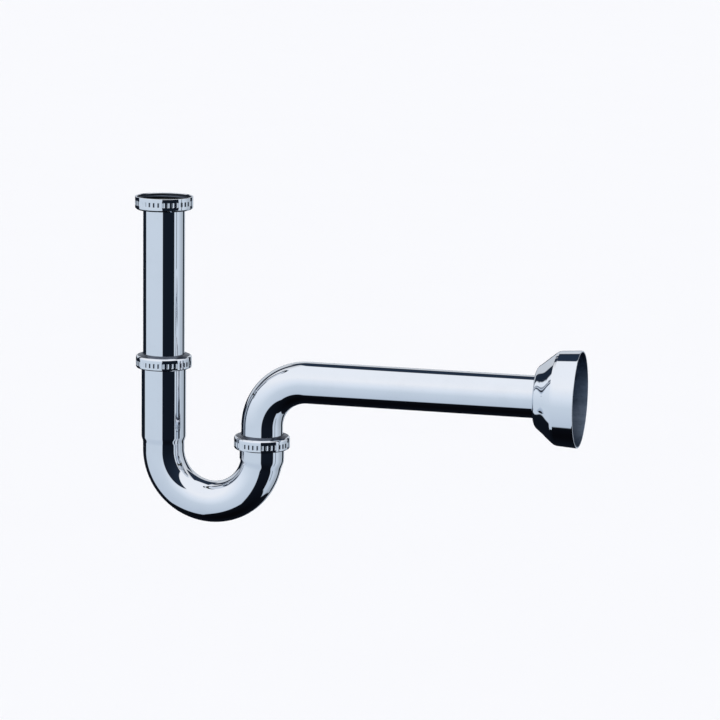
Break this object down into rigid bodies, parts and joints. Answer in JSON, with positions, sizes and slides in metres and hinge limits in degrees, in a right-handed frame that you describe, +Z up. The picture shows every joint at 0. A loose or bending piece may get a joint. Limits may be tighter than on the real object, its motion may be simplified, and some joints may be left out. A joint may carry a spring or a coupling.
{
  "type": "p trap",
  "caption": "Chrome tubular sink trap with a union nut and dip tube, a return bend held by slip nuts, and a long horizontal outlet with a sliding wall escutcheon.",
  "frame": {"origin": "centre of the inlet gasket's top face, on the union nut's axis, where the sink waste seats", "axes": "+Z up along the inlet axis, out of the union nut's mouth; +X along the horizontal outlet, towards the wall"},
  "size_m": [0.3475, 0.073, 0.2525],
  "materials": {
    "chrome_tube": "mirror chrome plate on brass tube",
    "chrome_nut": "bright chrome plate with softened edges",
    "chrome_rose": "mirror chrome plate on spun sheet",
    "raw_brass": "turned brass, unplated",
    "ring_plastic": "natural nylon",
    "black_rubber": "moulded, matte"
  },
  "bodies": {
    "inlet_pipe": {"inlet_tube": "chrome_tube", "inlet_collar": "raw_brass", "inlet_gasket": "black_rubber"},
    "union_ring_body": {"union_slip_ring": "ring_plastic"},
    "union_nut_body": {"union_nut": "chrome_nut"},
    "upper_seal_body": {"upper_cone_seal": "black_rubber"},
    "bend_body": {"u_bend": "chrome_tube", "upper_ferrule": "raw_brass", "lower_ferrule": "raw_brass"},
    "upper_washer_body": {"upper_slip_washer": "ring_plastic"},
    "upper_nut_body": {"upper_slip_nut": "chrome_nut"},
    "lower_washer_body": {"lower_slip_washer": "ring_plastic"},
    "lower_nut_body": {"lower_slip_nut": "chrome_nut"},
    "lower_seal_body": {"lower_cone_seal": "black_rubber"},
    "outlet_pipe": {"outlet_tube": "chrome_tube"},
    "grip_body": {"escutcheon_grip": "black_rubber"},
    "escutcheon_body": {"escutcheon": "chrome_rose"}
  },
  "joints": [
    {"name": "union_nut_drop", "type": "slide", "parent": "inlet_pipe", "child": "union_ring_body", "axis": [0, 0, 1], "range_m": [-0.09, 0]},
    {"name": "union_nut_turn", "type": "hinge", "parent": "union_ring_body", "child": "union_nut_body", "pos_m": [0, 0, 0], "axis": [0, 0, 1], "continuous": true},
    {"name": "trap_height", "type": "slide", "parent": "inlet_pipe", "child": "upper_seal_body", "axis": [0, 0, 1], "range_m": [-0.035, 0.01]},
    {"name": "trap_swivel", "type": "hinge", "parent": "upper_seal_body", "child": "bend_body", "pos_m": [0, 0, -0.124], "axis": [0, 0, 1], "continuous": true},
    {"name": "upper_nut_rise", "type": "slide", "parent": "bend_body", "child": "upper_washer_body", "axis": [0, 0, 1], "range_m": [0, 0.0061]},
    {"name": "upper_nut_turn", "type": "hinge", "parent": "upper_washer_body", "child": "upper_nut_body", "pos_m": [0, 0, -0.124], "axis": [0, 0, 1], "range_deg": [0, 1440]},
    {"name": "lower_nut_rise", "type": "slide", "parent": "bend_body", "child": "lower_washer_body", "axis": [0, 0, 1], "range_m": [0, 0.0061]},
    {"name": "lower_nut_turn", "type": "hinge", "parent": "lower_washer_body", "child": "lower_nut_body", "pos_m": [0.0793, 0, -0.183], "axis": [0, 0, 1], "range_deg": [0, 1440]},
    {"name": "outlet_swivel", "type": "hinge", "parent": "bend_body", "child": "lower_seal_body", "pos_m": [0.0793, 0, -0.183], "axis": [0, 0, 1], "range_deg": [-140, 140]},
    {"name": "outlet_height", "type": "slide", "parent": "lower_seal_body", "child": "outlet_pipe", "axis": [0, 0, 1], "range_m": [0, 0.006]},
    {"name": "escutcheon_slide", "type": "slide", "parent": "outlet_pipe", "child": "grip_body", "axis": [1, 0, 0], "range_m": [-0.11, 0.005]},
    {"name": "escutcheon_turn", "type": "hinge", "parent": "grip_body", "child": "escutcheon_body", "pos_m": [0.3, 0, -0.134], "axis": [1, 0, 0], "continuous": true}
  ],
  "couplings": [
    {"joint": "upper_nut_rise", "follows": "upper_nut_turn", "m_per_rad": 0.00023873},
    {"joint": "lower_nut_rise", "follows": "lower_nut_turn", "m_per_rad": 0.00023873}
  ]
}
